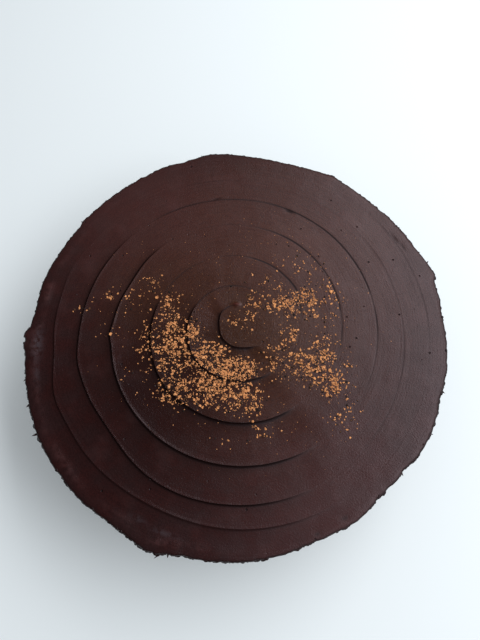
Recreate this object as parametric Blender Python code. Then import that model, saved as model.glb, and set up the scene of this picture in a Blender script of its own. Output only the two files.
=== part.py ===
"""A whole round chocolate cake: dark frosting swept into a spiral and dusted with cocoa crumbs.

The cake stands on z = 0, with the middle of its outline on the z axis. The sweep starts near
the middle and runs outward anticlockwise, seen from above. Turns and directions are counted
anticlockwise from +X about the middle of the swirl. Sizes are in millimetres until the mesh
is written.
"""
import math
import random

import bmesh
import bpy
from mathutils import Vector, noise

MILLIMETRE = 0.001

# The cake
CAKE_RADIUS = 109.8
CAKE_HEIGHT = 57.0
SWIRL_MIDDLE = (-0.7, -0.6)

# The sweep line: its distance from the middle of the swirl at every quarter turn
FIRST_TURN = -0.75
QUARTER_RADII = (
    0.0, 1.5, 4.5, 9.5,
    14.0, 8.3, 9.0, 19.5,
    25.3, 25.5, 27.0, 33.8,
    43.5, 44.5, 48.2, 55.5,
    63.2, 65.0, 68.2, 74.6,
    79.5, 82.0, 85.6, 88.4,
    92.8, 95.8, 96.4, 102.0,
    106.0, 110.0, 114.0, 118.0,
)
# Places where the hand wavered: turn, millimetres outward, share of a turn it lasts
KINKS = (
    (3.42, -1.6, 0.035),
    (3.49, 0.8, 0.02),
    (4.60, -1.8, 0.045),
    (5.42, 2.2, 0.04),
    (5.66, -1.8, 0.05),
)

# The step down along the sweep line: deep in the south-west, shallow in the north-east
DEEP_STEP = 1.5
DEEP_SIDE = 225
DEEP_SPREAD = 71
SHALLOW_STEP = 0.75
SHALLOW_SIDE = 35
SHALLOW_SPREAD = 39
FAINT_STEP = 0.12
STEP_STARTS = (0.2, 0.45)
STEP_SHRINKS = (4.9, 5.5)
STEP_ENDS = (5.6, 6.2)
OUTER_STEP_SHARE = 0.6
CREST_SHARE = 0.4
TRACK_HOLLOW = 1.7
FOOT_OFFSET = 1.3
FOOT_SHARE = 0.15

# The peak where the sweep starts
CURL_PLACE = (-1.0, 14.0)
CURL_HEIGHT = 1.3
CURL_WIDTH = 3.5

# The rim: direction in degrees, millimetres outward, degrees it spreads
RIM_SWELLS = (
    (18, 2.0, 5), (55, 0.7, 9), (97, 2.4, 7), (113, 0.9, 4), (150, -1.9, 18), (183, 1.8, 3),
    (208, 1.2, 9), (227, 1.2, 9), (250, 2.6, 5), (285, -1.2, 9), (312, -3.0, 9), (352, 0.8, 12),
)
RIM_RAGGED = 0.55
RIM_LUMPS = 9
RIM_ROUNDING = 13.0
RIM_DROP = 2.2
LIP_THICKNESS = 3.0
LIP_BULGE = 0.4
LIP_OVERHANG = 2.2

# The side: smoothed in level sweeps that lap over each other, rounder towards the base
SIDE_SWEEPS = 3
SIDE_STEP = 0.9
SIDE_STEP_TALL = 1.0
SIDE_WAVE = 1.2
SIDE_WAVES = 3
SWELL_UNDER_LIP = 0.8
SWELL_AT_BASE = 0.25
FOOT_BEVEL = 1.0

# The larger cocoa crumbs: middle across and away, reach across and away, number
CRUMB_PATCHES = (
    (-5, -21, 14, 7, 17), (-30, -6, 12, 12, 15), (-11, -34, 22, 10, 18), (-47, -9, 5, 11, 4),
    (-39, 22, 10, 14, 5), (-70, 13, 17, 9, 3), (30, 15, 12, 8, 9), (14, 14, 6, 6, 3),
    (33, 35, 8, 12, 3), (28, -2, 6, 8, 3), (22, -18, 8, 8, 3), (46, -24, 11, 14, 14),
    (54, -51, 8, 11, 3), (6, -53, 13, 5, 4), (5, 4, 8, 9, 3),
)
CRUMB_RADIUS = (0.75, 1.3)
CRUMB_SPACING = 2.7
CRUMB_LIFT = 0.15
CRUMB_ROUGHNESS = 0.22
CRUMB_TRIES = 40

# The mesh: directions all round, and stops across each lap, the first two at the step
COLUMNS = 80
TRACK_STOPS = (0.0, 0.0, 0.3, 0.62, 0.86)
LAPS = range(-2, 7)
CENTRE_SNAP = 1.0
RIM_SNAP = 1.6
WELD_DISTANCE = 0.02
SHARP_ANGLE = 35
SEED = 7


def smooth(value, low, high):
    """Rises gently from 0 at low to 1 at high."""
    share = min(max((value - low) / (high - low), 0.0), 1.0)
    return share * share * (3 - 2 * share)


def bell(distance, spread):
    """Falls from 1 to near 0 over about two spreads."""
    return math.exp(-((distance / spread) ** 2))


def apart(direction, other):
    """The angle between two directions, in degrees."""
    return (direction - other + 180) % 360 - 180


def line_radius(turn):
    """Distance of the sweep line from the middle of the swirl, on a smooth curve."""
    place = (turn - FIRST_TURN) * 4
    last = len(QUARTER_RADII) - 1
    start = int(place)
    if place <= 0 or start >= last:
        return QUARTER_RADII[0 if place <= 0 else last]
    share = place - start
    before, here, there, beyond = (
        QUARTER_RADII[min(max(start + step, 0), last)] for step in (-1, 0, 1, 2)
    )
    leaving = (there - before) / 2
    arriving = (beyond - here) / 2
    radius = here + (there - here) * smooth(share, 0, 1)
    radius += share * (share - 1) * ((share - 1) * leaving + share * arriving)
    for kink_turn, outward, spread in KINKS:
        radius += outward * bell(turn - kink_turn, spread)
    return radius


def step_height(turn):
    """How far the frosting drops across the sweep line."""
    direction = turn * 360
    height = FAINT_STEP
    height += (DEEP_STEP - FAINT_STEP) * bell(apart(direction, DEEP_SIDE), DEEP_SPREAD)
    height += (SHALLOW_STEP - FAINT_STEP) * bell(apart(direction, SHALLOW_SIDE), SHALLOW_SPREAD)
    height *= smooth(turn, *STEP_STARTS) * (1 - smooth(turn, *STEP_ENDS))
    return height * (1 - (1 - OUTER_STEP_SHARE) * smooth(turn, *STEP_SHRINKS))


def rim_radius(direction, swell=1.0):
    """Distance of the ragged rim from the middle of the swirl, by direction in degrees."""
    angle = math.radians(direction)
    round_about = Vector((math.cos(angle), math.sin(angle), 0)) * RIM_LUMPS
    uneven = RIM_RAGGED * noise.noise(round_about + Vector((0, 0, SEED)))
    for middle, outward, spread in RIM_SWELLS:
        uneven += outward * bell(apart(direction, middle), spread)
    return CAKE_RADIUS + swell * uneven


def rim_drop(radius, rim):
    """How far the top rounds down towards the rim."""
    return RIM_DROP * smooth(radius, rim - RIM_ROUNDING, rim) ** 2


def curl(radius, turn):
    """Height of the peak that the knife left where the sweep starts."""
    angle = turn * math.tau
    across = radius * math.cos(angle) - CURL_PLACE[0]
    away = radius * math.sin(angle) - CURL_PLACE[1]
    return CURL_HEIGHT * bell(math.hypot(across, away), CURL_WIDTH)


def track_height(turn, share):
    """Height across one lap of the sweep, which tilts up outward to the next step."""
    foot = (CREST_SHARE - 1) * step_height(turn)
    crest = CREST_SHARE * step_height(turn + 1)
    return foot + (crest - foot) * share ** TRACK_HOLLOW


def surface_height(across, away):
    """Height of the frosted top above the base, at a place measured from the swirl's middle."""
    radius = math.hypot(across, away)
    part_turn = math.atan2(away, across) / math.tau % 1
    passed = [lap for lap in LAPS if line_radius(part_turn + lap) <= radius]
    turn = part_turn + passed[-1]
    inner = line_radius(turn)
    share = (radius - inner) / (line_radius(turn + 1) - inner)
    height = CAKE_HEIGHT + track_height(turn, share) + curl(radius, turn)
    return height - rim_drop(radius, rim_radius(part_turn * 360))


def top_rows(part_turn):
    """Radius and height of the top's points in one direction, from the middle to the rim."""
    rim = rim_radius(part_turn * 360)
    rows = []
    for lap in LAPS:
        turn = part_turn + lap
        inner = line_radius(turn)
        width = line_radius(turn + 1) - inner
        for number, share in enumerate(TRACK_STOPS):
            radius = inner + width * share
            height = track_height(turn, share)
            if number == 0:
                height = CREST_SHARE * step_height(turn)
            elif number == 1:
                radius += min(FOOT_OFFSET, width * FOOT_SHARE)
            if radius > rim - RIM_SNAP:
                rows.append((rim, CAKE_HEIGHT - RIM_DROP))
            elif radius < CENTRE_SNAP:
                rows.append((0.0, CAKE_HEIGHT))
            else:
                height += CAKE_HEIGHT + curl(radius, turn) - rim_drop(radius, rim)
                rows.append((radius, height))
    return rows


def side_rows(part_turn):
    """Radius and height of the side's points in one direction, from under the lip to the base."""
    direction = part_turn * 360
    lip_bottom = CAKE_HEIGHT - RIM_DROP - LIP_THICKNESS
    wave = SIDE_WAVE * math.sin(part_turn * math.tau * SIDE_WAVES)

    def wall(height):
        swell = SWELL_AT_BASE + (SWELL_UNDER_LIP - SWELL_AT_BASE) * height / lip_bottom
        return rim_radius(direction, swell) - LIP_OVERHANG

    rows = [(rim_radius(direction) - LIP_BULGE, lip_bottom + LIP_THICKNESS / 2)]
    rows.append((wall(lip_bottom), lip_bottom))
    for number in range(1, SIDE_SWEEPS):
        edge = lip_bottom * (1 - number / SIDE_SWEEPS) + wave
        rows.append((wall(edge) + SIDE_STEP, edge))
        rows.append((wall(edge - SIDE_STEP_TALL), edge - SIDE_STEP_TALL))
    rows.append((wall(FOOT_BEVEL) + SIDE_STEP, FOOT_BEVEL))
    rows.append((wall(0) + SIDE_STEP - FOOT_BEVEL, 0.0))
    return rows


def cake_mesh():
    """Builds the frosted cake as one closed skin whose rows follow the sweep."""
    skin = bmesh.new()
    columns = []
    for column in range(COLUMNS + 1):
        part_turn = column / COLUMNS
        angle = part_turn * math.tau
        points = []
        for radius, height in top_rows(part_turn) + side_rows(part_turn):
            across = SWIRL_MIDDLE[0] + radius * math.cos(angle)
            away = SWIRL_MIDDLE[1] + radius * math.sin(angle)
            points.append(skin.verts.new(Vector((across, away, height)) * MILLIMETRE))
        columns.append(points)
    for here, there in zip(columns, columns[1:]):
        for row in range(len(here) - 1):
            skin.faces.new((here[row], here[row + 1], there[row + 1], there[row]))
    bmesh.ops.remove_doubles(skin, verts=skin.verts, dist=WELD_DISTANCE * MILLIMETRE)
    base_edges = [edge for edge in skin.edges if edge.is_boundary]
    bmesh.ops.contextual_create(skin, geom=base_edges)
    bmesh.ops.triangulate(skin, faces=[face for face in skin.faces if len(face.verts) == 4])
    bmesh.ops.recalc_face_normals(skin, faces=skin.faces)
    mesh = bpy.data.meshes.new("frosted_cake")
    skin.to_mesh(mesh)
    skin.free()
    return mesh


def crumb_places(draw):
    """Places for the larger crumbs, drawn patch by patch and kept apart."""
    places = []
    for across, away, reach_across, reach_away, number in CRUMB_PATCHES:
        found = 0
        for _ in range(number * CRUMB_TRIES):
            east = draw.uniform(-1, 1)
            north = draw.uniform(-1, 1)
            spot = Vector((across + reach_across * east, away + reach_away * north))
            crowded = any((spot - other).length < CRUMB_SPACING for other in places)
            if math.hypot(east, north) > 1 or crowded:
                continue
            places.append(spot)
            found += 1
            if found == number:
                break
    return places


def add_crumb(spot, draw, collection, material):
    """Sets one rough crumb on the frosting, its lower part sunk in."""
    size = draw.uniform(*CRUMB_RADIUS)
    lump = bmesh.new()
    bmesh.ops.create_icosphere(lump, subdivisions=1, radius=size * MILLIMETRE)
    for point in lump.verts:
        point.co *= 1 + draw.uniform(-CRUMB_ROUGHNESS, CRUMB_ROUGHNESS)
    mesh = bpy.data.meshes.new("crumb")
    lump.to_mesh(mesh)
    lump.free()
    mesh.materials.append(material)
    crumb = bpy.data.objects.new("crumb", mesh)
    height = surface_height(spot.x, spot.y) + size * CRUMB_LIFT
    place = Vector((SWIRL_MIDDLE[0] + spot.x, SWIRL_MIDDLE[1] + spot.y, height))
    crumb.location = place * MILLIMETRE
    crumb.rotation_euler = [draw.uniform(0, math.tau) for _ in range(3)]
    collection.objects.link(crumb)


def fuse_crumbs(cake, material):
    """Joins the crumbs to the frosting in one Boolean union and removes the loose ones."""
    draw = random.Random(SEED)
    crumbs = bpy.data.collections.new("crumbs")
    bpy.context.scene.collection.children.link(crumbs)
    for spot in crumb_places(draw):
        add_crumb(spot, draw, crumbs, material)
    union = cake.modifiers.new("fuse the crumbs", "BOOLEAN")
    union.operation = "UNION"
    union.operand_type = "COLLECTION"
    union.collection = crumbs
    union.solver = "EXACT"
    union.material_mode = "TRANSFER"
    depsgraph = bpy.context.evaluated_depsgraph_get()
    fused = bpy.data.meshes.new_from_object(cake.evaluated_get(depsgraph), depsgraph=depsgraph)
    cake.modifiers.clear()
    cake.data = fused
    for crumb in list(crumbs.objects):
        bpy.data.objects.remove(crumb)
    bpy.data.collections.remove(crumbs)


def plain_material(name, colour, roughness):
    """A Principled material of one colour."""
    material = bpy.data.materials.new(name)
    material.use_nodes = True
    shader = material.node_tree.nodes["Principled BSDF"]
    shader.inputs["Base Color"].default_value = (*colour, 1)
    shader.inputs["Roughness"].default_value = roughness
    shader.inputs["Metallic"].default_value = 0.0
    return material


def main():
    for leftover in list(bpy.data.objects):
        bpy.data.objects.remove(leftover)
    frosting = plain_material("dark chocolate frosting", (0.034, 0.013, 0.011), 0.55)
    cocoa = plain_material("cocoa crumbs", (0.48, 0.2, 0.08), 0.9)
    cake = bpy.data.objects.new("frosted_cake", cake_mesh())
    cake.data.materials.append(frosting)
    bpy.context.scene.collection.objects.link(cake)
    fuse_crumbs(cake, cocoa)
    cake.data.shade_smooth()
    cake.data.set_sharp_from_angle(angle=math.radians(SHARP_ANGLE))


main()
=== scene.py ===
"""The looks of a round chocolate cake: frosting swept into a spiral, dusted with cocoa crumbs.

Sizes are in millimetres, turned into metres where a node tree writes its points. Turns and
directions are counted anticlockwise from +X about the middle of the swirl.
"""
import math

import bmesh
import bpy
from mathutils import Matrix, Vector


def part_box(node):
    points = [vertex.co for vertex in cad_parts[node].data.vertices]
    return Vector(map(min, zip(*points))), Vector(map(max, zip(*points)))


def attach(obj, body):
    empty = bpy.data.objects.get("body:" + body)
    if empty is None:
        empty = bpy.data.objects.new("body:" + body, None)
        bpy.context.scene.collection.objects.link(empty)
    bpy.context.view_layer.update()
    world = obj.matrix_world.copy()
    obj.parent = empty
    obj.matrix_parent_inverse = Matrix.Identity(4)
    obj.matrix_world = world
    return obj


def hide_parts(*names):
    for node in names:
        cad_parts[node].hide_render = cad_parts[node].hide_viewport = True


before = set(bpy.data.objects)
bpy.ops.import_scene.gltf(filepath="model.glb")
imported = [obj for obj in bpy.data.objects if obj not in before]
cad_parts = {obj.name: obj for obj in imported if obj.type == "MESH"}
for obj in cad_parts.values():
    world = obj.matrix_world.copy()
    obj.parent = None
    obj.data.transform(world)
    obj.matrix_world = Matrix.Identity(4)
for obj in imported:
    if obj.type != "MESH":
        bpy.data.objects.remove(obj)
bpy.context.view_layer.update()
cake_low, cake_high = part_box("frosted_cake")

MILLIMETRE = 0.001
PER_SQUARE_MILLIMETRE = 1e6

# The cake, from the solid that it replaces: how far the rim reaches past it, and how far the
# solid's crumbs stand up from its top
RIM_REACH = 0.1
CRUMB_REACH = 1.8
CAKE_RADIUS = (cake_high.x - cake_low.x) / 2 / MILLIMETRE + RIM_REACH
CAKE_HEIGHT = cake_high.z / MILLIMETRE - CRUMB_REACH
SWIRL_MIDDLE = (-0.7, -0.6)

# The sweep line: its distance from the middle of the swirl at every quarter turn
FIRST_TURN = -0.75
QUARTER_RADII = (
    0.0, 1.5, 4.5, 9.5,
    14.0, 8.3, 9.0, 19.5,
    25.3, 25.3, 26.8, 34.2,
    43.5, 44.4, 48.0, 56.0,
    63.0, 65.0, 68.5, 74.7,
    79.8, 82.0, 86.0, 88.4,
    92.6, 95.8, 96.6, 101.8,
    106.0, 110.0, 114.0, 118.0,
)
# Places where the hand wavered: turn, millimetres outward, share of a turn it lasts
KINKS = (
    (1.62, 0.4, 0.06), (2.10, 0.9, 0.03), (2.60, 0.9, 0.06), (2.87, -0.9, 0.06),
    (3.43, -1.5, 0.035), (3.505, 0.9, 0.012), (4.53, 0.8, 0.02), (4.61, -3.0, 0.045),
    (5.44, 1.6, 0.025), (5.52, -1.2, 0.018), (5.56, 1.4, 0.018), (5.68, -1.4, 0.05),
)
# Its small wavering all along: how far, how often in a turn, and the turns over which it grows
WAVER = 0.45
WAVERS_A_TURN = 22
WAVER_GROWS = (0.2, 1.5)

# Arcs along which the frosting steps down outward: from turn, to turn, drop, bead on its crest
STEPS = (
    (0.36, 0.87, 1.2, 0.0), (1.42, 1.84, 1.1, 0.0), (2.46, 2.83, 1.6, 0.0),
    (3.38, 3.82, 1.1, 0.18), (4.40, 4.56, 0.8, 0.12), (4.56, 4.80, 0.8, 0.15),
    (5.46, 5.81, 0.45, 0.11), (6.45, 6.8, 0.2, 0.0),
)
# Arcs along which only a thin crease shows, a shallow groove darkened with painted shade: from
# turn, to turn, how clear it is
CREASES = (
    (0.24, 0.38, 1.0), (1.10, 1.42, 0.8), (1.86, 1.97, 0.6), (2.05, 2.21, 1.9), (2.21, 2.46, 0.5),
    (2.95, 3.0, 0.5), (3.0, 3.19, 1.6), (3.19, 3.28, 0.5), (3.92, 4.0, 0.35), (4.0, 4.20, 1.5),
    (4.20, 4.35, 0.9), (4.88, 5.12, 0.35), (5.22, 5.31, 0.3), (5.98, 6.12, 0.35),
)
ARC_FADE = 0.035
# The hand's pressure: how often it changes in a turn, and what it does to drop, bead and crease
HAND_CHANGES = 15
HAND_ON_DROP = (0.6, 1.4)
HAND_ON_BEAD = (1.6, 0.4)
HAND_ON_CREASE = (0.2, 0.6)

# Between two laps of the line: how much of the next drop the frosting rises, how hollow the
# rise is, and a shallow dip that grows with the drop
CREST_SHARE = 0.12
TRACK_HOLLOW = 1.1
TRACK_DIP = 0.15
DIP_BY_DROP = (0.1, 0.6)
# The step's first part is steep and the rest eases out
STEEP_SHARE = 0.5
STEEP_RUN = 0.7
EASY_RUN = 2.6
BEAD_WIDTHS = (0.8, 0.4)
CREASE_DEPTH = 0.05
CREASE_WIDTH = 0.42
# Painted shade at the foot of a step, where the step's shadow falls: places, widths and shares of
# its narrow and wide part
FOOT_SHADES = ((0.5, 0.65, 1.0), (0.0, 3.4, 0.35))

# The peak where the sweep starts, and the radius of the level spot in the middle
CURL_PLACE = (0.3, 14.4)
CURL_HEIGHT = 1.1
CURL_REACH = (1.7, 0.9)
LEVEL_MIDDLE = 3

# Gouges, slits and holes: direction, distance, reach along and across the sweep, strength
MARKS = (
    (67, 78, 2.6, 0.8, 0.9), (98, 81, 2.4, 0.5, 0.7), (291, 105.6, 1.3, 0.8, 0.5),
    (299, 105.0, 1.7, 0.9, 0.5), (31, 104.5, 3.4, 0.5, 0.5), (27.5, 105.5, 2.4, 0.5, 0.5),
)
MARK_DEPTH = 0.5
# Smears where the knife left the frosting smooth, with a painted greyish sheen, written like the
# marks
SHEEN_SMEARS = (
    (184, 103.6, 8.0, 2.6, 1.0), (193, 104.3, 6.0, 1.5, 0.5), (252, 103.5, 6.0, 1.2, 0.7),
    (244, 102.5, 4.0, 1.2, 0.5), (196, 62, 9.0, 1.2, 0.3),
)
# Where the frosting has more pores, written like the marks
PORED_PLACES = ((353, 62, 16, 9, 0.35), (65, 58, 14, 10, 0.2))

# How uneven the knife leaves the frosting, in millimetres
FROSTING_SIZES = {"Unevenness": 0.7, "Streaks": 0.12}
# The broad and the fine lumps on a millimetre, and the fine ones' share of Unevenness
BROAD_LUMPS = 0.035
FINE_LUMPS = 0.22
FINE_SHARE = 0.22
# What it drags along the side: lumps across, away and up, share of Unevenness, and the heights
# over which that starts above the base
DRAG_LUMPS = (0.03, 0.03, 0.35)
DRAG_SHARE = 1.6
DRAG_STARTS = (0.5, 4)
# The sweep's streaks: lumps across a millimetre and along a turn, and where they fade in and out
STREAK_LUMPS = (0.9, 9)
STREAKS_FROM_MIDDLE = (3, 8)
STREAKS_FROM_RIM = (12, 5)

# The rim: direction in degrees, millimetres outward, degrees it spreads
RIM_SWELLS = (
    (18, 2.0, 5), (26, 1.5, 14), (57, 1.2, 6), (75, -0.9, 8), (97, 2.6, 7), (113, 0.9, 4),
    (150, -1.9, 18), (174, -2.2, 7), (208, 1.0, 9), (227, 0.7, 9),
    (249, 2.4, 6), (292, -2.2, 10), (312, -3.2, 9), (330, -0.6, 8), (344, -0.5, 6),
)
# Small knobs on the lip alone, written the same way
RIM_KNOBS = (
    (9, 0.8, 1.5), (16.5, 0.9, 1.2), (60, 0.8, 2.5), (142, 0.9, 2), (181, 1.9, 1.3),
    (184, 1.5, 1.3), (249, 0.7, 1.2), (251.5, 0.8, 0.8), (320, -1.2, 3), (340, -0.8, 3),
)
# Its waves and its teeth: how far they reach, and how many fit on the radius
RIM_RAGGED = 0.5
RIM_WAVES = 3.0
RIM_TEETH = 2.0
RIM_TOOTH_LUMPS = 26.0
# The top's last fall to the rim, how dark the lip's painted shade is, and how far inside the steps
# fade out
RIM_ROUNDING = 2.6
RIM_DROP = 0.6
RIM_SHADE = 0.8
RIM_SETTLES = 5.0
# A low ridge inside the rim: it fades in degrees away from one side, and noise breaks it
RIDGE_HEIGHT = 0.6
RIDGE_INSIDE = 5.0
RIDGE_WIDTH = 1.8
RIDGE_SIDE = 205
RIDGE_FADES = (45, 80)
RIDGE_BREAKS = (0.3, 0.7)
# The rounded edge under the rim: it turns under, to this many degrees below level, and hangs
# past the side
EDGE_REACH = 1.3
EDGE_THICKNESS = 1.3
EDGE_RAGGED = 1.1
EDGE_LUMPS = 7.0
EDGE_UNDERCUT = 110
LIP_OVERHANG = 1.6

# Torn bits of frosting along the rim: how many there are room for, their radii and their shapes
RIM_BITS = 1700
RIM_BIT_SIZES = (0.3, 1.0)
RIM_BIT_SHAPES = ((0.6, 0.9, 0.5), (1.1, 1.9, 0.9))
RIM_BIT_ROUGHNESS = 0.9
RIM_BIT_DENTS = 0.9
# They come in runs, where noise is below this, and sit so far down and in
RIM_BITS_RUN = 0.56
RIM_BITS_LUMPS = 9.0
RIM_BITS_DOWN = 1.6 * EDGE_THICKNESS
RIM_BIT_SUNK = 0.2
TOP_BIT_SUNK = 0.7
RIM_BITS_SEED = 3

# Wisps that the knife drew out past the rim: direction, length, degrees they lean round
WISPS = (
    (20.5, 1.6, 40), (24.5, 1.2, -30), (30.5, 1.1, 20), (100.5, 1.4, 30), (143.5, 1.9, -20),
    (165, 1.1, 30), (193.6, 1.3, 40), (200.6, 1.9, 25), (208.6, 2.8, -15), (219, 1.0, 30),
    (252, 2.0, -50), (254, 1.2, 20), (318, 1.1, -30), (331, 1.4, 20), (343, 1.7, -30),
)
WISP_THICKNESS = 0.7
WISP_TIP = 0.02
WISP_TAPER = 1.5
WISP_FLATNESS = (1.3, 0.7)
WISP_ROOT = 1.6
WISP_BEND = 0.7
WISP_RISE = 0.25
WISP_STEPS = 6
WISP_SIDES = 7

# The side: smoothed in level sweeps that lap over each other, rounder towards the base
SIDE_SWEEPS = 3
SIDE_STEP = 0.9
SIDE_WAVE = 1.2
SIDE_WAVES = 3
SWELL_UNDER_LIP = 0.8
SWELL_AT_BASE = 0.25
FOOT_BEVEL = 1.0
FOOT_HEIGHT = 0.8

# The skin's points: directions all round, rows across each lap, and rows down the side
COLUMNS = 480
LAPS = 9
FIRST_LAP = -2
LAP_ROWS = 22
EDGE_ROWS = 10
WALL_ROWS = 30
# Rows crowd towards the line, and points near the centre or the rim are pulled onto it
ROW_CROWDING = 0.88
CENTRE_SNAP = 0.4
RIM_SNAP = 0.6
MERGE_DISTANCE = 0.004

# The cocoa: middle across and away, reach across and away, grains on a square millimetre
PATCHES = (
    (-5, -22, 15, 7, 3.2), (-31, -3, 13, 9, 1.1), (-15, -11, 10, 6, 0.9), (-30, -15, 12, 8, 1.1),
    (-25, -32, 13, 8, 1.4), (-6, -33, 12, 8, 1.3), (6, -36, 8, 8, 0.7), (12, -50, 4, 5, 0.3),
    (-46, -8, 6, 12, 0.3), (-36, 11, 9, 8, 0.3), (-36, 20, 6, 5, 0.25), (-44, 27, 6, 5, 0.25),
    (-55, 18, 6, 5, 0.22), (-69, 19, 3, 3, 0.5), (-82, 12, 7, 2, 0.2), (-60, 10, 25, 18, 0.03),
    (25, 14, 8, 6, 0.9), (38, 15, 8, 9, 0.75), (12, 15, 7, 6, 0.6), (20, 24, 8, 5, 0.25),
    (4, 6, 8, 6, 0.35), (33, 37, 9, 12, 0.1), (28, -3, 5, 8, 0.6), (50, 5, 6, 18, 0.2),
    (34, -17, 9, 7, 0.9), (45, -15, 6, 9, 1.0), (47, -29, 7, 7, 0.9), (38, -26, 6, 5, 0.5),
    (22, -18, 9, 10, 0.3), (53, -45, 10, 9, 0.15), (56, -30, 6, 14, 0.2),
    (-50, -28, 10, 12, 0.08), (44, 22, 14, 14, 0.12), (10, -52, 22, 8, 0.04),
)
PATCH_FADE = (0.4, 1.45)
# Where single crumbs lie scattered: middle across and away, reach and share
SCATTER_PLACES = ((-40, 10, 35, 0.7), (20, 25, 38, 1.0), (25, -25, 38, 0.8), (-10, -20, 35, 0.5))
# Thick and thin places, and clusters in them: lumps on a millimetre, fade, least and most
COCOA_SPREAD = (0.14, (0.35, 0.65), (0.6, 1.4))
COCOA_CLUSTERS = (1 / 2.8, (0.45, 0.62), (0.25, 2.2))
# Few crumbs stay on a step: its place, its width and the share that fell off
STEP_LOSES = (0.5, 0.9, 0.97)
# Crumbs on a square millimetre below which the frosting counts as bare
BARE = 0.01

# The kinds of crumbs: name, roundness, and sizes. Share is of the patches' number. Scattered and
# Densest are numbers on a square millimetre. The rest are millimetres.
COCOA_KINDS = (
    ("cocoa_grains", 1, {
        "Share": 3.1, "Scattered": 0.02, "Densest": 6.0, "Apart": 0.46,
        "Smallest": 0.22, "Largest": 0.66, "Roughness": 0.9,
    }),
    ("cocoa_clumps", 2, {
        "Share": 0.18, "Scattered": 0.0, "Densest": 1.0, "Apart": 1.2,
        "Smallest": 0.45, "Largest": 0.82, "Roughness": 1.5,
    }),
    ("cocoa_specks", 1, {
        "Share": 0.25, "Scattered": 0.09, "Densest": 1.5, "Apart": 0.4,
        "Smallest": 0.08, "Largest": 0.26, "Roughness": 0.4,
    }),
)
CRUMB_SHAPES = ((0.55, 0.55, 0.4), (1.5, 1.3, 0.85))
CRUMB_TURNS = ((-0.6, -0.6, 0), (0.6, 0.6, math.tau))
CRUMB_DENTS = 1.1
COCOA_SEED = 10
# Small bits and crumbs are commoner than large ones: the powers that say how much
BIT_SIZE_POWER = 2.0
CRUMB_SIZE_POWER = 1.8

# Where finer dust tints the frosting: across, away, reach and share
DUSTY_PLACES = ((-4, -4, 38, 0.8), (-44, 20, 26, 0.45), (35, -5, 26, 0.3))
# Where the frosting is a lighter, redder brown
WARM_PLACES = ((28, 44, 72, 0.9), (20, -40, 40, 0.25), (-50, 60, 40, 0.15))
# Painted shade, where it is darkest, on the side away from the window
PAINTED_SHADE_PLACES = ((-42, -38, 42, 0.55), (-25, -10, 30, 0.3))
# Where it has a faint grey veil of painted sheen
SHEEN_VEILED_PLACES = ((-58, 78, 52, 0.2), (48, -95, 50, 0.24), (-16, 10, 9, 0.12))
# Where the knife left it smoothest
SLICK_PLACES = ((-60, -50, 75, 1.0), (-10, -15, 40, 0.6))

# The frosting's colours: linear red, green and blue
FROSTING_RED = (0.0280, 0.0071, 0.0067, 1)
FROSTING_GREY = (0.0230, 0.0086, 0.0086, 1)
# Dark: random dark tone, and the painted shade of the darkest places
FROSTING_DARK = (0.0105, 0.0030, 0.0028, 1)
FROSTING_WARM = (0.0720, 0.0225, 0.0130, 1)
FROSTING_DUSTY = (0.0580, 0.0215, 0.0070, 1)
# Painted greyish sheen of the smooth smears
FROSTING_SMEAR_SHEEN = (0.072, 0.060, 0.070, 1)
# Painted sheen of the veiled places, and the rim ridge's painted highlight
FROSTING_SHEEN_VEIL = (0.105, 0.040, 0.039, 1)
FROSTING_CURL = (0.085, 0.018, 0.011, 1)
# Painted shade in creases, at the foot of steps and on the lip
FROSTING_CREASE_SHADE = (0.0085, 0.0022, 0.0018, 1)
# Painted shade in pores and gouges
FROSTING_HOLE_SHADE = (0.006, 0.0025, 0.0025, 1)
# The patterns in it: lumps on a millimetre, and detail
BLOTCHES = (0.09, 6.0)
WARM_BLOTCHES = (0.045, 5.0)
VEIL_BLOTCHES = (0.07, 5.0)
RIDGE_BLOTCHES = (0.3, 4.0)
SMEAR_BLOTCHES = (0.5, 3.0)
GRAIN = (1.3, 3.0)
FLECKS = (1.8, 3.0)
SPECKLE = (3.2, 2.0)
# Its streaks: lumps across a millimetre and along a turn
COLOUR_STREAKS = (1.4, 16)
# Its pores: how many fit on a millimetre, where their edge fades, and which of them show
PORES = 0.22
PORE_EDGE = (0.06, 0.15)
PORES_SHOWN = (0.84, 0.98)
# How strongly each shows, from 0 to 1
TONE_PARTS = {"streaks": 0.2, "grain": 0.4, "speckle": 0.4}
TONE_STRETCH = (0.42, 0.58)
TONE_DEPTH = 0.55
VEIL_IN_BLOTCHES = 0.1
RIDGE_HIGHLIGHT = 0.3
SMEAR_SHEEN_DEPTH = 0.4
CREASE_SHADE_TONE = 0.95
CURL_TONE = 0.8
# Its relief: the patterns that rise or sink, and the bump's height in millimetres and strength
RELIEF_PARTS = {"streaks": 0.06, "grain": 0.12, "speckle": 0.06, "pores": -0.4}
FROSTING_BUMP = (1, 0.9)
# Its gloss: roughness of its two shades, the grain's part, what smooth places take off, and
# how strongly it shines
SATIN = (0.35, 0.39)
SATIN_GRAIN = 0.12
SLICK_GAIN = 0.1
SHEEN_LEVEL = 0.37
SHEEN_TINT = (1.0, 0.86, 0.92, 1)
# The roughness of creases and holes, rising over this stretch across the cake
DULL = (0.42, 0.75)
DULL_STRETCH = (-10, 40)

# The cocoa's colours from its darkest to its lightest grains; the near-black darkest grains are
# painted shadow between the crumbs
COCOA_STOPS = (
    (0.0, (0.010, 0.004, 0.003)), (0.26, (0.012, 0.005, 0.003)), (0.29, (0.40, 0.16, 0.057)),
    (0.4, (0.53, 0.215, 0.077)), (0.75, (0.66, 0.275, 0.10)), (1.0, (0.80, 0.37, 0.155)),
)
COCOA_MOTTLE = (3.0, 2.0)
COCOA_BUMP = (0.2, 0.6)
COCOA_ROUGHNESS = 0.85

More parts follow.
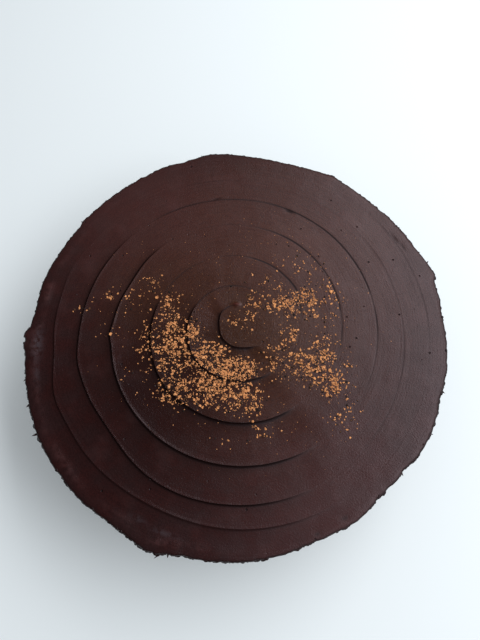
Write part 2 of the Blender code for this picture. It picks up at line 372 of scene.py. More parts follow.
# The floor and the light, in metres and watts
FLOOR_SIZE = 40
FLOOR_COLOUR = (0.78, 0.82, 0.84, 1)
FLOOR_ROUGHNESS = 0.7
WINDOW_PLACE = (0.54, 0.17, 0.74)
WINDOW_SIZE = (1.4, 0.45)
WINDOW_POWER = 9.4
DAYLIGHT = (0.95, 0.98, 1.0)
ROOM_STRENGTH = 0.55

# The camera, as it stood over the cake: right and away of the swirl's middle, above the top
CAMERA_PLACE = (2.2, -78.3, 240.9)
CAMERA_TILT = 19.2
PICTURE_HEIGHT = 640
FOCAL_PIXELS = 481.0
SENSOR = 36.0


class Wire:
    """A node's socket. Python sums of wires and numbers add the nodes that work them out."""

    def __init__(self, tree, socket):
        self.tree = tree
        self.socket = socket

    def node(self, kind, settings=None, inputs=None, output=0):
        """Adds a node to this wire's tree."""
        return add_node(self.tree, kind, settings, inputs, output)

    def work(self, operation, *others):
        """One Math node on this wire and others."""
        inputs = dict(enumerate((self, *others)))
        return self.node("ShaderNodeMath", {"operation": operation}, inputs)

    def output(self, name):
        """Another output of this wire's node."""
        return Wire(self.tree, self.socket.node.outputs[name])

    def __add__(self, other):
        return self.work("ADD", other)

    __radd__ = __add__

    def __mul__(self, other):
        return self.work("MULTIPLY", other)

    __rmul__ = __mul__

    def __sub__(self, other):
        return self.work("SUBTRACT", other)

    def __rsub__(self, other):
        return self * -1 + other

    def __truediv__(self, other):
        return self.work("DIVIDE", other)

    def __mod__(self, other):
        return self.work("FLOORED_MODULO", other)

    def __pow__(self, other):
        return self.work("POWER", other)


def find_socket(sockets, key):
    """The socket at an index, or the enabled one of that name."""
    if isinstance(key, int):
        return sockets[key]
    return next(socket for socket in sockets if socket.name == key and socket.enabled)


def add_node(tree, kind, settings=None, inputs=None, output=0):
    """Adds one node: its settings first, then its sockets' values and links."""
    node = tree.nodes.new(kind)
    for name, value in (settings or {}).items():
        if name == "curve":
            set_curve(node, value)
        elif name == "stops":
            set_stops(node, value)
        else:
            setattr(node, name, value)
    for key, value in (inputs or {}).items():
        socket = find_socket(node.inputs, key)
        if isinstance(value, Wire):
            tree.links.new(value.socket, socket)
        else:
            socket.default_value = value
    if not node.outputs:
        return None
    return Wire(tree, find_socket(node.outputs, output))


def set_curve(node, points):
    """Gives a Float Curve node its points."""
    curve = node.mapping.curves[0]
    curve.points[0].location = points[0]
    curve.points[1].location = points[-1]
    for point in points[1:-1]:
        curve.points.new(*point)
    node.mapping.update()


def set_stops(node, stops):
    """Gives a Color Ramp node its stops: place, then red, green and blue."""
    ramp = node.color_ramp
    while len(ramp.elements) < len(stops):
        ramp.elements.new(1.0)
    for element, (place, colour) in zip(ramp.elements, stops):
        element.position = place
        element.color = (*colour, 1)


def smooth(value, low, high):
    """Rises gently from 0 at low to 1 at high."""
    settings = {"interpolation_type": "SMOOTHSTEP"}
    return value.node("ShaderNodeMapRange", settings, {"Value": value, 1: low, 2: high})


def bell(distance, spread):
    """Falls from 1 to near 0 over about two spreads."""
    share = distance / spread
    return (share * share * -1).work("EXPONENT")


def at_most_one(value):
    """The value, or 1 where it is more."""
    return value.work("MINIMUM", 1)


def mix(share, one, other):
    """One value at share 0 and the other at share 1."""
    settings = {"data_type": "FLOAT", "clamp_factor": False}
    return share.node("ShaderNodeMix", settings, {0: share, 2: one, 3: other})


def mix_colours(share, one, other):
    """One colour at share 0 and the other at share 1."""
    inputs = {0: share, 6: one, 7: other}
    return share.node("ShaderNodeMix", {"data_type": "RGBA"}, inputs, 2)


def noise(place, lumps, detail=2.0, output=0):
    """Noise between about 0 and 1, with so many lumps for each unit of the place."""
    inputs = {"Vector": place, "Scale": lumps, "Detail": detail}
    return place.node("ShaderNodeTexNoise", None, inputs, output)


def patchy(place, lumps, fade, limits):
    """Goes softly between two limits from place to place."""
    return mix(smooth(noise(place, lumps, 2.0), *fade), *limits)


def random_value(wire, data_type, limits, seed):
    """A random value between two limits for each point."""
    inputs = {"Min": limits[0], "Max": limits[1], "Seed": seed}
    return wire.node("FunctionNodeRandomValue", {"data_type": data_type}, inputs, "Value")


def combine(one, *others):
    """A vector of three values, the first a wire."""
    return one.node("ShaderNodeCombineXYZ", None, dict(enumerate((one, *others))))


def upright(height):
    """A vector straight up."""
    return combine(height * 0, 0, height)


def split(vector):
    """The three values of a vector."""
    parts = vector.node("ShaderNodeSeparateXYZ", None, {0: vector})
    return parts.output("X"), parts.output("Y"), parts.output("Z")


def scale_vector(vector, factor):
    """A vector times a number."""
    inputs = {0: vector, "Scale": factor}
    return vector.node("ShaderNodeVectorMath", {"operation": "SCALE"}, inputs)


def add_vectors(one, other):
    """The sum of two vectors."""
    return one.node("ShaderNodeVectorMath", {"operation": "ADD"}, {0: one, 1: other})


def circle_point(angle):
    """The point of the unit circle at an angle in radians."""
    return combine(angle.work("COSINE"), angle.work("SINE"), 0)


def apart(direction, other):
    """The angle between two directions, in degrees."""
    return (direction - other + 180) % 360 - 180


def along_sweep(past, turn, lumps):
    """A place for noise that is drawn out along the sweep."""
    return combine(past * lumps[0], turn * lumps[1], 0)


def spots(across, away, places):
    """The sum of soft spots: direction, distance, reach along and across the sweep, strength."""
    total = across * 0
    for direction, distance, along_reach, across_reach, strength in places:
        heading = math.radians(direction)
        outward = across * math.cos(heading) + away * math.sin(heading) - distance
        along = away * math.cos(heading) - across * math.sin(heading)
        total = total + bell(along, along_reach) * bell(outward, across_reach) * strength
    return total


def field(across, away, places):
    """The sum of broad soft patches, at most 1: middle across and away, reach and share."""
    total = across * 0
    for middle_across, middle_away, reach, share in places:
        here = bell(across - middle_across, reach) * bell(away - middle_away, reach)
        total = total + here * share
    return at_most_one(total)


def curl_here(across, away):
    """The curl where the sweep starts, 0 to 1."""
    return bell(across - CURL_PLACE[0], CURL_REACH[0]) * bell(away - CURL_PLACE[1], CURL_REACH[1])


def new_shape_tree(name, sizes):
    """A Geometry Nodes tree with a geometry and named sizes going in, and the wires of those."""
    tree = bpy.data.node_groups.new(name, "GeometryNodeTree")
    tree.interface.new_socket("Geometry", in_out="INPUT", socket_type="NodeSocketGeometry")
    tree.interface.new_socket("Geometry", in_out="OUTPUT", socket_type="NodeSocketGeometry")
    for size in sizes:
        tree.interface.new_socket(size, in_out="INPUT", socket_type="NodeSocketFloat")
    given = add_node(tree, "NodeGroupInput")
    return tree, given, {size: given.output(size) for size in sizes}


def end_shape_tree(geometry, material):
    """Realizes what the tree made, gives it its material and sends it out."""
    geometry = geometry.node("GeometryNodeRealizeInstances", None, {0: geometry})
    inputs = {"Geometry": geometry, "Material": material}
    geometry = geometry.node("GeometryNodeSetMaterial", None, inputs)
    geometry.node("NodeGroupOutput", None, {0: geometry})


def run_shape_tree(name, tree, sizes, mesh=None):
    """Makes a piece from a tree with its named sizes, as a plain mesh at the origin."""
    piece = bpy.data.objects.new(name, mesh or bpy.data.meshes.new(name))
    bpy.context.scene.collection.objects.link(piece)
    maker = piece.modifiers.new(tree.name, "NODES")
    maker.node_group = tree
    for item in tree.interface.items_tree:
        if item.in_out == "INPUT" and item.name in sizes:
            maker[item.identifier] = float(sizes[item.name])
    depsgraph = bpy.context.evaluated_depsgraph_get()
    made = bpy.data.meshes.new_from_object(piece.evaluated_get(depsgraph), depsgraph=depsgraph)
    piece.modifiers.clear()
    piece.data = made
    made.name = name
    return piece


def store(geometry, name, data_type, value, domain="POINT"):
    """Keeps a value on the geometry as an attribute of that name."""
    settings = {"data_type": data_type, "domain": domain}
    inputs = {"Geometry": geometry, "Name": name, "Value": value}
    return geometry.node("GeometryNodeStoreNamedAttribute", settings, inputs)


def recall(wire, name, data_type):
    """An attribute that was kept on the geometry."""
    settings = {"data_type": data_type}
    return wire.node("GeometryNodeInputNamedAttribute", settings, {"Name": name}, "Attribute")


def dent(shapes, lumps, detail, middle, depth):
    """Moves the points of many small shapes by noise, so that each has a shape of its own."""
    place = shapes.node("GeometryNodeInputPosition")
    dents = noise(place, lumps / MILLIMETRE, detail, "Color")
    dents = add_vectors(dents, Vector(middle))
    inputs = {"Geometry": shapes, "Offset": scale_vector(dents, depth * MILLIMETRE)}
    return shapes.node("GeometryNodeSetPosition", None, inputs)


def line_radius(turn):
    """Distance of the sweep line from the middle of the swirl."""
    last = (len(QUARTER_RADII) - 1) / 4
    farthest = QUARTER_RADII[-1]
    points = [(place / 4 / last, radius / farthest) for place, radius in enumerate(QUARTER_RADII)]
    inputs = {"Value": (turn - FIRST_TURN) / last}
    radius = turn.node("ShaderNodeFloatCurve", {"curve": points}, inputs) * farthest
    for kink_turn, outward, spread in KINKS:
        radius = radius + bell(turn - kink_turn, spread) * outward
    waver = noise(combine(turn * WAVERS_A_TURN, 0, 0), 1.0, 2.0) - 0.5
    return radius + waver * smooth(turn, *WAVER_GROWS) * WAVER


def along_arcs(turn, arcs, column):
    """One of the arcs' values along the sweep line; it fades at both ends of each arc."""
    total = turn * 0
    for start, end, *values in arcs:
        begun = smooth(turn, start - ARC_FADE, start + ARC_FADE)
        ended = smooth(turn, end - ARC_FADE, end + ARC_FADE)
        total = total + (begun - ended) * values[column]
    return total


def line_strengths(turn):
    """How far the frosting drops across the line, the bead on its crest, and the crease, a shallow
    groove darkened with painted shade.
    """
    hand = noise(combine(turn * HAND_CHANGES, 3, 0), 1.0, 3.0)
    drop = along_arcs(turn, STEPS, 0) * mix(hand, *HAND_ON_DROP)
    bead = along_arcs(turn, STEPS, 1) * mix(hand, *HAND_ON_BEAD)
    crease_and_shade = along_arcs(turn, CREASES, 0) * smooth(hand, *HAND_ON_CREASE)
    return drop, bead, crease_and_shade


def rim_uneven(direction, heading):
    """How far the rim stands out or in, by direction in degrees: the whole side, and the lip."""
    side = (noise(heading, RIM_WAVES, 1.0) - 0.5) * (2 * RIM_RAGGED)
    for middle, outward, spread in RIM_SWELLS:
        side = side + bell(apart(direction, middle), spread) * outward
    lip = side + (noise(heading, RIM_TOOTH_LUMPS, 2.0) - 0.5) * RIM_TEETH
    for middle, outward, spread in RIM_KNOBS:
        lip = lip + bell(apart(direction, middle), spread) * outward
    return side, lip


def rim_height(radius, rim, direction, ragged):
    """The height of the top near the rim, a low ridge and then the drop, and the ridge's share."""
    drop = smooth(radius, rim - RIM_ROUNDING, rim)
    from_side = apart(direction, RIDGE_SIDE).work("ABSOLUTE")
    ridge = bell(radius - rim + RIDGE_INSIDE, RIDGE_WIDTH) * smooth(ragged, *RIDGE_BREAKS)
    ridge = ridge * (1 - smooth(from_side, *RIDGE_FADES))
    return ridge * RIDGE_HEIGHT - drop * drop * RIM_DROP + CAKE_HEIGHT, ridge


def swept_height(turn, share, past, width):
    """The height that the sweep gives a point between two laps of its line, and the painted shade
    of its crease and step foot.
    """
    drop, bead, crease_and_shade = line_strengths(turn)
    next_drop, next_bead, next_crease_and_shade = line_strengths(turn + 1)
    track = mix(share ** TRACK_HOLLOW, drop * (CREST_SHARE - 1), next_drop * CREST_SHARE)
    steep = (1 - smooth(past, 0.0, STEEP_RUN)) * STEEP_SHARE
    easy = (past / -EASY_RUN).work("EXPONENT") * (1 - STEEP_SHARE)
    beads = bell(width - past, BEAD_WIDTHS[0]) * next_bead + bell(past, BEAD_WIDTHS[1]) * bead
    dip = share * (1 - share) * (4 * TRACK_DIP) * smooth(drop, *DIP_BY_DROP)
    crease_and_shade = bell(past, CREASE_WIDTH) * crease_and_shade + bell(width - past, CREASE_WIDTH) * next_crease_and_shade
    height = track + drop * (steep + easy) + beads - dip - crease_and_shade * CREASE_DEPTH
    # Painted shade at the foot of the step joins the crease's
    for foot, spread, share_of_drop in FOOT_SHADES:
        crease_and_shade = crease_and_shade + bell(past - foot, spread) * drop * share_of_drop
    return height, crease_and_shade


def top_point(part_turn, row, rim, ragged):
    """A point of the top: radius, height, how far past the line, turn, painted crease shade and
    ridge.
    """
    place = row / LAP_ROWS + FIRST_LAP
    lap = place.work("FLOOR")
    share = place - lap
    share = share - (share * math.tau).work("SINE") * (ROW_CROWDING / math.tau)
    turn = part_turn + lap
    inner = line_radius(turn)
    width = (line_radius(turn + 1) - inner).work("MAXIMUM", 0)
    past = width * share
    radius = inner + past
    settled = rim - EDGE_REACH
    snapped = radius.work("GREATER_THAN", settled - RIM_SNAP)
    radius = mix(snapped, radius, settled) * radius.work("GREATER_THAN", CENTRE_SNAP)

    height, crease_and_shade = swept_height(turn, share, past, width)
    flattened = smooth(radius, settled - RIM_SETTLES, settled)
    in_middle = 1 - smooth(radius, 0, LEVEL_MIDDLE)
    smooth_top, ridge = rim_height(radius, rim, part_turn * 360, ragged)
    height = height * (1 - flattened) * (1 - in_middle) + smooth_top
    return radius, height, past, turn, crease_and_shade, ridge


def side_point(part_turn, row, rim, uneven, ragged):
    """Radius and height from the edge of the top, round the lip and down to the base."""
    edge_top = rim_height(rim - EDGE_REACH, rim, part_turn * 360, ragged)[0]
    thickness = (ragged - 0.5) * EDGE_RAGGED + EDGE_THICKNESS
    share = at_most_one(row / EDGE_ROWS)
    angle = math.radians(90) - share * math.radians(90 + EDGE_UNDERCUT)
    lip_radius = rim - EDGE_REACH + angle.work("COSINE") * EDGE_REACH
    lip_height = edge_top - thickness + angle.work("SINE") * thickness

    down = (row - EDGE_ROWS) / WALL_ROWS
    down = at_most_one(down.work("MAXIMUM", 0))
    height = lip_height * (1 - down)
    swell = mix(height / CAKE_HEIGHT, SWELL_AT_BASE, SWELL_UNDER_LIP)
    wave = (part_turn * (math.tau * SIDE_WAVES)).work("SINE") * SIDE_WAVE
    sweep = (height - wave) / (CAKE_HEIGHT / SIDE_SWEEPS)
    lean = 1 - (sweep - sweep.work("FLOOR"))
    wall = uneven * swell + lean ** 2 * SIDE_STEP + (CAKE_RADIUS - LIP_OVERHANG)
    wall = wall - bell(height, FOOT_HEIGHT) * FOOT_BEVEL
    radius = mix(smooth(down, 0, 0.1), lip_radius, wall)
    return radius, height


def skin_tree(material):
    """The frosting's skin: a grid whose rows follow the sweep, closed under the base."""
    tree, given, sizes = new_shape_tree("frosting skin", FROSTING_SIZES)
    top_rows = LAPS * LAP_ROWS
    rows = top_rows + EDGE_ROWS + WALL_ROWS + 2
    counts = {"Vertices X": COLUMNS + 1, "Vertices Y": rows}
    grid = given.node("GeometryNodeMeshGrid", None, counts, "Mesh")
    index = given.node("GeometryNodeInputIndex")
    column = ((index + 0.5) / rows).work("FLOOR")
    row = index - column * rows
    part_turn = column / COLUMNS
    heading = circle_point(part_turn * math.tau)
    uneven, lip = rim_uneven(part_turn * 360, heading)
    rim = lip + CAKE_RADIUS
    ragged = noise(heading, EDGE_LUMPS, 3.0)

    top_radius, top_height, past, turn, crease_and_shade, ridge = top_point(part_turn, row, rim, ragged)
    side_radius, side_height = side_point(part_turn, row - top_rows, rim, uneven, ragged)
    on_side = row.work("GREATER_THAN", top_rows - 0.5)
    at_pole = row.work("GREATER_THAN", rows - 1.5)
    radius = mix(on_side, top_radius, side_radius) * (1 - at_pole)
    height = mix(on_side, top_height, side_height)
    flat = scale_vector(heading, radius * MILLIMETRE)
    place = add_vectors(flat, upright(height * MILLIMETRE))
    middle = Vector((*SWIRL_MIDDLE, 0)) * MILLIMETRE
    inputs = {"Geometry": grid, "Position": add_vectors(place, middle)}
    skin = grid.node("GeometryNodeSetPosition", None, inputs)

    # Painted shade on the lip; with the crease's painted shade it rides in the sweep attribute's
    # third value
    lip_shade = smooth(row, top_rows - 1, top_rows + 3) * RIM_SHADE
    shade = mix(on_side, crease_and_shade, lip_shade)
    skin = store(skin, "sweep", "FLOAT_VECTOR", combine(past, turn, shade))
    skin = store(skin, "side", "FLOAT", on_side)
    skin = store(skin, "ridge", "FLOAT", ridge * (1 - on_side))
    inputs = {"Geometry": skin, "Distance": MERGE_DISTANCE * MILLIMETRE}
    skin = skin.node("GeometryNodeMergeByDistance", None, inputs)
    end_shape_tree(roughen_skin(skin, sizes), material)
    return tree


def roughen_skin(skin, sizes):
    """Moves the skin in and out a little, as a knife leaves soft frosting."""
    position = scale_vector(skin.node("GeometryNodeInputPosition"), 1 / MILLIMETRE)
    across, away, height = split(position)
    radius = (across * across + away * away).work("SQRT")
    past, turn = split(recall(skin, "sweep", "FLOAT_VECTOR"))[:2]
    side = recall(skin, "side", "FLOAT")
    unevenness = sizes["Unevenness"]

    broad = (noise(position, BROAD_LUMPS, 2.0) - 0.5) * unevenness
    fine = (noise(position, FINE_LUMPS, 3.0) - 0.5) * (unevenness * FINE_SHARE)
    streaks = (noise(along_sweep(past, turn, STREAK_LUMPS), 1.0, 3.0) - 0.5) * sizes["Streaks"]
    ends = [CAKE_RADIUS - inside for inside in STREAKS_FROM_RIM]
    streaked = (1 - smooth(radius, *ends)) * smooth(radius, *STREAKS_FROM_MIDDLE)
    across_swirl = across - SWIRL_MIDDLE[0]
    away_swirl = away - SWIRL_MIDDLE[1]
    marks = spots(across_swirl, away_swirl, MARKS)
    curl = curl_here(across_swirl, away_swirl)
    lift = broad + fine + streaks * streaked - marks * MARK_DEPTH + curl * CURL_HEIGHT

    wall_place = combine(across * DRAG_LUMPS[0], away * DRAG_LUMPS[1], height * DRAG_LUMPS[2])
    drag = (noise(wall_place, 1.0, 4.0) - 0.5) * (unevenness * DRAG_SHARE) + fine
    off_axis = radius.work("MAXIMUM", 1)
    outward = combine(across / off_axis, away / off_axis, 0)
    sideways = scale_vector(outward, drag * side * smooth(height, *DRAG_STARTS) * MILLIMETRE)
    upward = upright(lift * (1 - side) * MILLIMETRE)
    inputs = {"Geometry": skin, "Offset": add_vectors(sideways, upward)}
    return skin.node("GeometryNodeSetPosition", None, inputs)


def rim_bits_tree(material):
    """Torn bits of frosting along the rim, half sunk in its edge."""
    tree, given, sizes = new_shape_tree("rim bits", ("Seed",))
    seed = sizes["Seed"]
    points = given.node("GeometryNodePoints", None, {"Count": RIM_BITS})
    direction = random_value(given, "FLOAT", (0.0, 360.0), seed)
    angle = direction * (math.tau / 360)
    heading = circle_point(angle)
    rim = rim_uneven(direction, heading)[1] + CAKE_RADIUS
    size = random_value(given, "FLOAT", (0.0, 1.0), seed + 1)
    size = mix(size ** BIT_SIZE_POWER, *RIM_BIT_SIZES)
    low = random_value(given, "FLOAT", (0.0, 1.0), seed + 2)
    height = CAKE_HEIGHT - RIM_DROP - low * RIM_BITS_DOWN
    sunk = size * RIM_BIT_SUNK + (1 - low) * (1 - low) * TOP_BIT_SUNK
    flat = scale_vector(heading, (rim - sunk) * MILLIMETRE)
    place = add_vectors(flat, upright(height * MILLIMETRE))
    place = add_vectors(place, Vector((*SWIRL_MIDDLE, 0)) * MILLIMETRE)
    inputs = {"Geometry": points, "Position": place}
    points = points.node("GeometryNodeSetPosition", None, inputs)

    ball = {"Radius": MILLIMETRE, "Subdivisions": 2}
    bit = given.node("GeometryNodeMeshIcoSphere", None, ball, "Mesh")
    shape = random_value(given, "FLOAT_VECTOR", RIM_BIT_SHAPES, 4)
    present = noise(heading, RIM_BITS_LUMPS, 2.0).work("LESS_THAN", RIM_BITS_RUN)
    inputs = {"Points": points, "Selection": present, "Instance": bit, "Rotation": upright(angle)}
    inputs["Scale"] = scale_vector(shape, size)
    bits = given.node("GeometryNodeInstanceOnPoints", None, inputs)
    bits = bits.node("GeometryNodeRealizeInstances", None, {0: bits})
    bits = dent(bits, RIM_BIT_DENTS, 3.0, (-0.5, -0.5, -0.5), RIM_BIT_ROUGHNESS)
    # The bits take the lip's painted shade
    bits = store(bits, "sweep", "FLOAT_VECTOR", combine(direction * 0, 0, RIM_SHADE))
    end_shape_tree(bits, material)
    return tree


def rim_radius(direction):
    """The rim's radius in Python, for the wisps; the same swells as the skin, without noise."""
    radius = CAKE_RADIUS
    for middle, outward, spread in RIM_SWELLS + RIM_KNOBS:
        share = apart(direction, middle) / spread
        radius += outward * math.exp(-share * share)
    return radius


def wisp_rings(shape, number, direction, length, lean):
    """The rings of points of one wisp, from its root in the rim to its tip."""
    angle = math.radians(direction)
    outward = Vector((math.cos(angle), math.sin(angle), 0))
    along = Vector((-math.sin(angle), math.cos(angle), 0))
    root = outward * (rim_radius(direction) - WISP_ROOT)
    root += Vector((*SWIRL_MIDDLE, CAKE_HEIGHT - RIM_DROP - EDGE_THICKNESS))
    rings = []
    for step in range(WISP_STEPS + 1):
        share = step / WISP_STEPS
        reach = (WISP_ROOT + length) * share
        bend = math.tan(math.radians(lean)) * max(reach - WISP_ROOT, 0) * WISP_BEND
        middle = root + outward * reach + along * bend
        middle.z += WISP_RISE * math.sin(3 * share + number)
        thickness = WISP_THICKNESS * (1 - share ** WISP_TAPER) + WISP_TIP
        ring = []
        for side in range(WISP_SIDES):
            turn = math.tau * side / WISP_SIDES
            spot = middle + along * (math.cos(turn) * thickness * WISP_FLATNESS[0])
            spot.z += math.sin(turn) * thickness * WISP_FLATNESS[1]
            ring.append(shape.verts.new(spot * MILLIMETRE))
        rings.append(ring)
    return rings


def make_wisps(material):
    """Thin curved points of frosting that stick out past the rim."""
    shape = bmesh.new()
    for number, wisp in enumerate(WISPS):
        rings = wisp_rings(shape, number, *wisp)
        for ring, after in zip(rings, rings[1:]):
            for side in range(WISP_SIDES):
                following = (side + 1) % WISP_SIDES
                shape.faces.new((ring[side], ring[following], after[following], after[side]))
        shape.faces.new(rings[0][::-1])
        shape.faces.new(rings[-1])
    bmesh.ops.recalc_face_normals(shape, faces=shape.faces)
    mesh = bpy.data.meshes.new("rim_wisps")
    shape.to_mesh(mesh)
    shape.free()
    mesh.shade_smooth()
    mesh.materials.append(material)
    wisps = bpy.data.objects.new("rim_wisps", mesh)
    bpy.context.scene.collection.objects.link(wisps)
    return wisps


def cocoa_density(position):
    """Grains on a square millimetre, by place."""
    across, away = split(position)[:2]
    density = across * 0
    for middle_across, middle_away, reach_across, reach_away, number in PATCHES:
        east = (across - middle_across) / reach_across
        north = (away - middle_away) / reach_away
        offset = (east * east + north * north).work("SQRT")
        density = density + (1 - smooth(offset, *PATCH_FADE)) * number
    return density * patchy(position, *COCOA_SPREAD) * patchy(position, *COCOA_CLUSTERS)


def cocoa_points(given, sizes):
    """The crumbs' places on the top of the frosting, thick in the patches and thin around."""
    position = scale_vector(given.node("GeometryNodeInputPosition"), 1 / MILLIMETRE)
    position = add_vectors(position, -Vector((*SWIRL_MIDDLE, 0)))
    past = split(recall(given, "sweep", "FLOAT_VECTOR"))[0]
    side = recall(given, "side", "FLOAT")
    foot, width, lost = STEP_LOSES
    on_steps = 1 - bell(past - foot, width) * lost
    across, away = split(position)[:2]
    scattered = field(across, away, SCATTER_PLACES) * sizes["Scattered"]
    density = cocoa_density(position) * sizes["Share"] + scattered
    density = density.work("MINIMUM", sizes["Densest"]) * on_steps * (1 - side)
    inputs = {"Geometry": given, "Selection": density.work("LESS_THAN", BARE)}
    ground = given.node("GeometryNodeDeleteGeometry", {"domain": "FACE"}, inputs)
    inputs = {"Mesh": ground, "Distance Min": sizes["Apart"] * MILLIMETRE, "Seed": sizes["Seed"]}
    inputs["Density Max"] = sizes["Densest"] * PER_SQUARE_MILLIMETRE
    inputs["Density Factor"] = density / sizes["Densest"]
    settings = {"distribute_method": "POISSON"}
    return given.node("GeometryNodeDistributePointsOnFaces", settings, inputs, "Points")


def cocoa_tree(name, sizes, material, subdivisions):
    """Cocoa crumbs strewn on the frosting, each one its own rough shape."""
    tree, given, sizes = new_shape_tree(name, sizes)
    points = cocoa_points(given, sizes)
    ball = {"Radius": MILLIMETRE, "Subdivisions": subdivisions}
    crumb = given.node("GeometryNodeMeshIcoSphere", None, ball, "Mesh")
    size = random_value(given, "FLOAT", (0.0, 1.0), sizes["Seed"] + 1)
    size = mix(size ** CRUMB_SIZE_POWER, sizes["Smallest"], sizes["Largest"])
    shape = random_value(given, "FLOAT_VECTOR", CRUMB_SHAPES, 4)
    turned = random_value(given, "FLOAT_VECTOR", CRUMB_TURNS, 5)
    inputs = {"Points": points, "Instance": crumb, "Rotation": turned}
    inputs["Scale"] = scale_vector(shape, size)
    crumbs = given.node("GeometryNodeInstanceOnPoints", None, inputs)
    shade = random_value(given, "FLOAT", (0.0, 1.0), 6)
    crumbs = store(crumbs, "shade", "FLOAT", shade, "INSTANCE")
    crumbs = crumbs.node("GeometryNodeRealizeInstances", None, {0: crumbs})
    crumbs = dent(crumbs, CRUMB_DENTS, 2.0, (-0.5, -0.5, -0.4), sizes["Roughness"])
    end_shape_tree(crumbs, material)
    return tree


def new_material(name):
    """A Principled material, and its shader."""
    material = bpy.data.materials.new(name)
    material.use_nodes = True
    return material, material.node_tree.nodes["Principled BSDF"]


def place_on(material):
    """The material's own coordinates, in millimetres."""
    place = add_node(material.node_tree, "ShaderNodeTexCoord", output="Object")
    return scale_vector(place, 1 / MILLIMETRE)


def look_up(place, name, output="Fac"):
    """An attribute that was kept on the mesh."""
    return place.node("ShaderNodeAttribute", {"attribute_name": name}, output=output)


def feed(shader, name, value):
    """Sets or links one of the shader's sockets."""
    if isinstance(value, Wire):
        value.tree.links.new(value.socket, shader.inputs[name])
    else:
        shader.inputs[name].default_value = value


def bump(place, relief, distance, strength):
    """A normal that is tilted by relief."""
    inputs = {"Height": relief, "Distance": distance * MILLIMETRE, "Strength": strength}
    return place.node("ShaderNodeBump", None, inputs)


def frosting_patterns(place):
    """The patterns that the frosting's colour, gloss and relief share."""
    past, turn, crease_and_shade = split(look_up(place, "sweep", "Vector"))
    across, away = split(place)[:2]
    across = across - SWIRL_MIDDLE[0]
    away = away - SWIRL_MIDDLE[1]
    inputs = {"Vector": place, "Scale": PORES}
    pore_spots = place.node("ShaderNodeTexVoronoi", None, inputs)
    pore_chance = split(pore_spots.output("Color"))[0] + spots(across, away, PORED_PLACES)
    return {
        "across": across,
        "away": away,
        "streaks": noise(along_sweep(past, turn, COLOUR_STREAKS), 1.0, 4.0),
        "blotches": smooth(noise(place, *BLOTCHES), 0.35, 0.65),
        "grain": noise(place, *GRAIN),
        "speckle": noise(place, *SPECKLE),
        "pores": (1 - smooth(pore_spots, *PORE_EDGE)) * smooth(pore_chance, *PORES_SHOWN),
        "marks": spots(across, away, MARKS),
        "crease_and_shade": at_most_one(crease_and_shade),
        "curl": curl_here(across, away),
    }


def weigh(seen, parts):
    """The sum of some of the frosting's patterns, each by its share."""
    return sum(seen[name] * share for name, share in parts.items())


def painted_sheen_veil(place, seen):
    """A faint light veil: painted sheen in broad places, random blotches, and a painted highlight
    on the ridge inside the rim.
    """
    sheen_veil = field(seen["across"], seen["away"], SHEEN_VEILED_PLACES)
    sheen_veil = sheen_veil + smooth(noise(place, *VEIL_BLOTCHES), 0.5, 0.75) * VEIL_IN_BLOTCHES
    ridge_highlight = look_up(place, "ridge") * smooth(noise(place, *RIDGE_BLOTCHES), 0.35, 0.65)
    return sheen_veil + ridge_highlight * RIDGE_HIGHLIGHT


def frosting_colour(place, seen):
    """Red-brown and grey blotches, warmer or dusty by place; painted shade darkens it by place and
    in creases, holes and the lip; painted sheen veils it by place, in smears and on the rim's
    ridge.
    """
    across, away = seen["across"], seen["away"]
    warmth = field(across, away, WARM_PLACES) * mix(noise(place, *WARM_BLOTCHES), 0.6, 1.4)
    flecks = mix(smooth(noise(place, *FLECKS), 0.35, 0.7), 0.6, 1.2)
    dust = field(across, away, DUSTY_PLACES) * flecks
    tone = smooth(weigh(seen, TONE_PARTS), *TONE_STRETCH) * TONE_DEPTH
    painted_shade = field(across, away, PAINTED_SHADE_PLACES)
    smear_sheen = spots(across, away, SHEEN_SMEARS) * smooth(noise(place, *SMEAR_BLOTCHES), 0.35, 0.6)

    colour = mix_colours(seen["blotches"], FROSTING_RED, FROSTING_GREY)
    colour = mix_colours(at_most_one(warmth), colour, FROSTING_WARM)
    colour = mix_colours(at_most_one(dust), colour, FROSTING_DUSTY)
    # Random dark tone, and painted shade where it is darkest
    colour = mix_colours(tone + painted_shade * (1 - tone), colour, FROSTING_DARK)
    # Painted sheen veil, and the ridge's painted highlight
    colour = mix_colours(painted_sheen_veil(place, seen), colour, FROSTING_SHEEN_VEIL)
    # Painted sheen on the smooth smears
    colour = mix_colours(smear_sheen * SMEAR_SHEEN_DEPTH, colour, FROSTING_SMEAR_SHEEN)
    # Painted shade in pores and gouges
    colour = mix_colours(at_most_one(seen["pores"] + seen["marks"]), colour, FROSTING_HOLE_SHADE)
    # Painted shade in creases, at step feet and on the lip
    colour = mix_colours(seen["crease_and_shade"] * CREASE_SHADE_TONE, colour, FROSTING_CREASE_SHADE)
    return mix_colours(seen["curl"] * CURL_TONE, colour, FROSTING_CURL)


def frosting_roughness(seen):
    """Satin, glossier where the knife smoothed it, and dull in creases and holes."""
    satin = mix(seen["blotches"], *SATIN) + (seen["grain"] - 0.5) * SATIN_GRAIN
    satin = satin - field(seen["across"], seen["away"], SLICK_PLACES) * SLICK_GAIN
    dull_share = at_most_one(seen["crease_and_shade"] + seen["pores"] + seen["marks"] + seen["curl"])
    return mix(dull_share, satin, mix(smooth(seen["across"], *DULL_STRETCH), *DULL))


def frosting_material():
    """Dark chocolate frosting: satin, blotched red-brown and grey, streaked along the sweep."""
    material, shader = new_material("dark chocolate frosting")
    place = place_on(material)
    seen = frosting_patterns(place)
    feed(shader, "Base Color", frosting_colour(place, seen))
    feed(shader, "Roughness", frosting_roughness(seen))
    feed(shader, "Normal", bump(place, weigh(seen, RELIEF_PARTS), *FROSTING_BUMP))
    feed(shader, "Specular IOR Level", SHEEN_LEVEL)
    feed(shader, "Specular Tint", SHEEN_TINT)
    return material


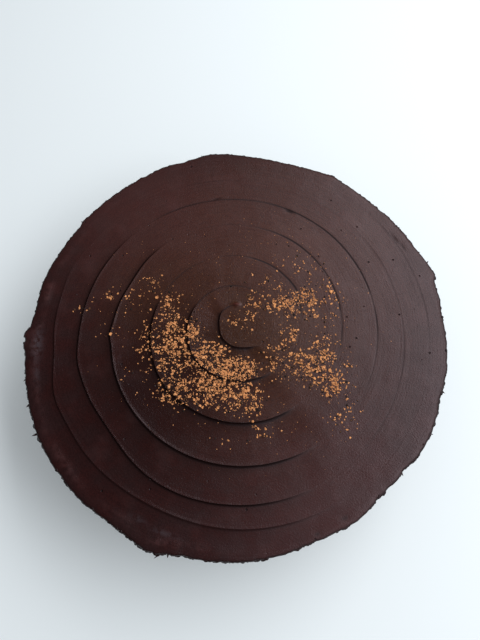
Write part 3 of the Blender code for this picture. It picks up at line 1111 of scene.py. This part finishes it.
def cocoa_material():
    """Dry cocoa crumbs, lighter and darker from grain to grain; the near-black ones are painted
    shadow between the crumbs.
    """
    material, shader = new_material("cocoa crumbs")
    place = place_on(material)
    mottle = noise(place, *COCOA_MOTTLE)
    tone = look_up(place, "shade") * 0.75 + (mottle - 0.25) * 0.5
    feed(shader, "Base Color", tone.node("ShaderNodeValToRGB", {"stops": COCOA_STOPS}, {0: tone}))
    feed(shader, "Roughness", COCOA_ROUGHNESS)
    feed(shader, "Normal", bump(place, mottle, *COCOA_BUMP))
    return material


def make_frosting(chocolate):
    """The frosting, with the torn bits and wisps of its rim, which rides on the cake."""
    frosting = run_shape_tree("frosting", skin_tree(chocolate), FROSTING_SIZES)
    frosting.data.shade_smooth()
    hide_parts("frosted_cake")
    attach(frosting, "root")

    bits = run_shape_tree("rim_bits", rim_bits_tree(chocolate), {"Seed": RIM_BITS_SEED})
    wisps = make_wisps(chocolate)
    for piece in (bits, wisps):
        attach(piece, "root")
    return frosting


def make_cocoa(cocoa, frosting):
    """Each kind of crumb, strewn on the frosting."""
    for seed, (name, subdivisions, sizes) in enumerate(COCOA_KINDS, COCOA_SEED):
        sizes = {**sizes, "Seed": seed}
        tree = cocoa_tree(name, sizes, cocoa, subdivisions)
        crumbs = run_shape_tree(name, tree, sizes, frosting.data.copy())
        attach(crumbs, "root")


def make_floor():
    """A plain pale floor that runs out of sight."""
    bpy.ops.mesh.primitive_plane_add(size=FLOOR_SIZE)
    floor = bpy.context.object
    floor.name = "floor"
    material, shader = new_material("pale floor")
    feed(shader, "Base Color", FLOOR_COLOUR)
    feed(shader, "Roughness", FLOOR_ROUGHNESS)
    floor.data.materials.append(material)


def make_window():
    """A window's broad soft light from the right, which faces the cake."""
    light = bpy.data.lights.new("window", "AREA")
    light.shape = "RECTANGLE"
    light.size, light.size_y = WINDOW_SIZE
    light.energy = WINDOW_POWER
    light.color = DAYLIGHT
    window = bpy.data.objects.new("window", light)
    window.location = WINDOW_PLACE
    window.rotation_euler = (-Vector(WINDOW_PLACE)).to_track_quat("-Z", "Y").to_euler()
    bpy.context.scene.collection.objects.link(window)


def make_room():
    """The weak even light of the room."""
    world = bpy.data.worlds.new("room")
    world.use_nodes = True
    world.cycles_visibility.glossy = False
    background = world.node_tree.nodes["Background"]
    background.inputs["Color"].default_value = (*DAYLIGHT, 1)
    background.inputs["Strength"].default_value = ROOM_STRENGTH
    bpy.context.scene.world = world
    bpy.context.scene.view_settings.view_transform = "Standard"


def make_camera():
    """The camera over the cake."""
    lens = bpy.data.cameras.new("camera")
    lens.sensor_width = SENSOR
    lens.lens = SENSOR * FOCAL_PIXELS / PICTURE_HEIGHT
    camera = bpy.data.objects.new("camera", lens)
    place = Vector((*SWIRL_MIDDLE, CAKE_HEIGHT)) + Vector(CAMERA_PLACE)
    camera.location = place * MILLIMETRE
    camera.rotation_euler = (math.radians(CAMERA_TILT), 0, 0)
    bpy.context.scene.collection.objects.link(camera)
    bpy.context.scene.camera = camera


make_window()
make_room()
make_camera()
make_floor()
frosting = make_frosting(frosting_material())
make_cocoa(cocoa_material(), frosting)
